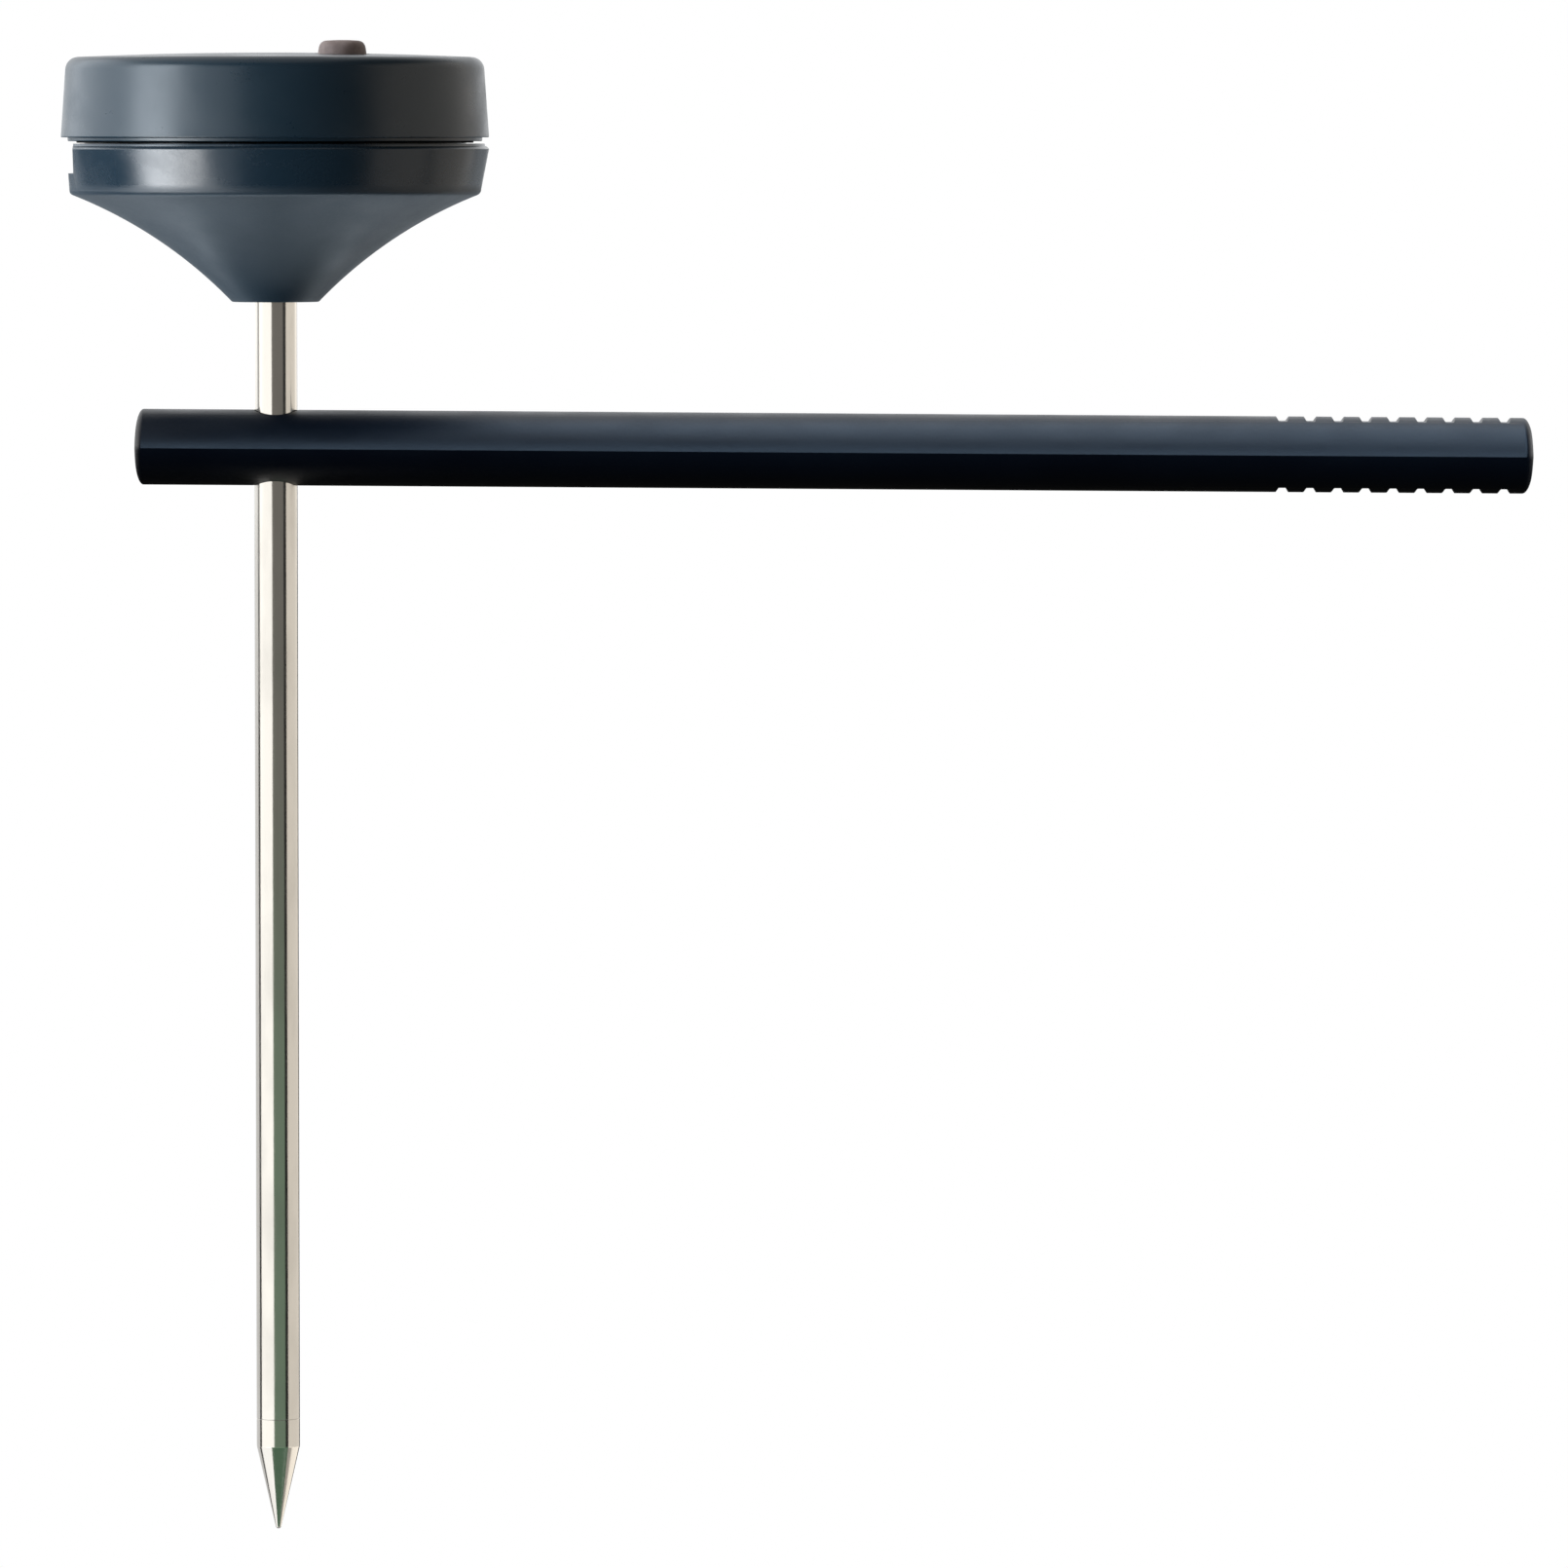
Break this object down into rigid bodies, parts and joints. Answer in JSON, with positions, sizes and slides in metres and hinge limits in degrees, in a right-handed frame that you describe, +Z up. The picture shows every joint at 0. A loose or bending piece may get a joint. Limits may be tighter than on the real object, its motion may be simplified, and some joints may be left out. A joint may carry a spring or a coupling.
{
  "type": "soil thermometer probe",
  "caption": "Pocket soil thermometer: round digital head with display and rubber button, pointed steel probe, and a storage sleeve worn crosswise as its handle.",
  "frame": {"origin": "the probe's point, where it enters the soil", "axes": "+Z up the probe's axis to the head, +X along the handle sleeve to its open end, -Y the side the display is read from"},
  "size_m": [0.1357, 0.0394, 0.1379],
  "materials": {
    "navy_plastic": "fine matte moulding",
    "button_rubber": "matte, moulded",
    "steel": "bright drawn stainless",
    "black_rubber": "matte",
    "brass": "machined",
    "clear_window": "clear, polished",
    "board": "solder mask",
    "white_plastic": "satin",
    "black_plastic": "satin",
    "display_glass": "polariser film",
    "epoxy": "cast resin",
    "spring_metal": "nickel plated",
    "ceramic": "fired",
    "silicone": "matte",
    "red_insulation": "satin"
  },
  "bodies": {
    "head": {"lower_shell": "navy_plastic", "stem_tube": "steel", "probe_tip": "steel", "board_screw_1": "steel", "board_screw_2": "steel", "board_screw_3": "steel", "battery_cell": "steel", "timing_crystal": "steel", "seal_ring": "black_rubber", "neck_seal": "black_rubber", "bead_sleeve": "black_rubber", "stem_collar": "brass", "circuit_board": "board", "lcd_frame": "white_plastic", "switch_body": "black_plastic", "sensor_lead_b": "black_plastic", "lcd_panel": "display_glass", "epoxy_fill": "epoxy", "controller_chip": "epoxy", "thermistor_bead": "epoxy", "battery_contact": "spring_metal", "battery_clip": "spring_metal", "chip_capacitor": "ceramic", "zebra_strip_front": "silicone", "zebra_strip_rear": "silicone", "sensor_lead_a": "red_insulation"},
    "cover": {"upper_shell": "navy_plastic", "display_window": "clear_window"},
    "button": {"power_button": "button_rubber"},
    "plunger": {"switch_plunger": "white_plastic"},
    "grip": {"grip_ring": "silicone"},
    "sleeve": {"handle_sleeve": "navy_plastic"}
  },
  "joints": [
    {"name": "cover_lift", "type": "slide", "parent": "head", "child": "cover", "axis": [0, 0, 1], "range_m": [0, 0.014]},
    {"name": "button_press", "type": "slide", "parent": "cover", "child": "button", "axis": [0, 0, -1], "range_m": [0, 0.0004], "stiffness_N_per_m": 2500, "springref_m": -0.0002},
    {"name": "plunger_travel", "type": "slide", "parent": "head", "child": "plunger", "axis": [0, 0, -1], "range_m": [0, 0.0004]},
    {"name": "sleeve_slide", "type": "slide", "parent": "head", "child": "grip", "axis": [0, 0, 1], "range_m": [-0.112, 0.0096]},
    {"name": "sleeve_swivel", "type": "hinge", "parent": "grip", "child": "sleeve", "pos_m": [0, 0, 0.10035], "axis": [0, 0, 1], "continuous": true}
  ],
  "couplings": [
    {"joint": "plunger_travel", "follows": "button_press", "ratio": 1}
  ]
}
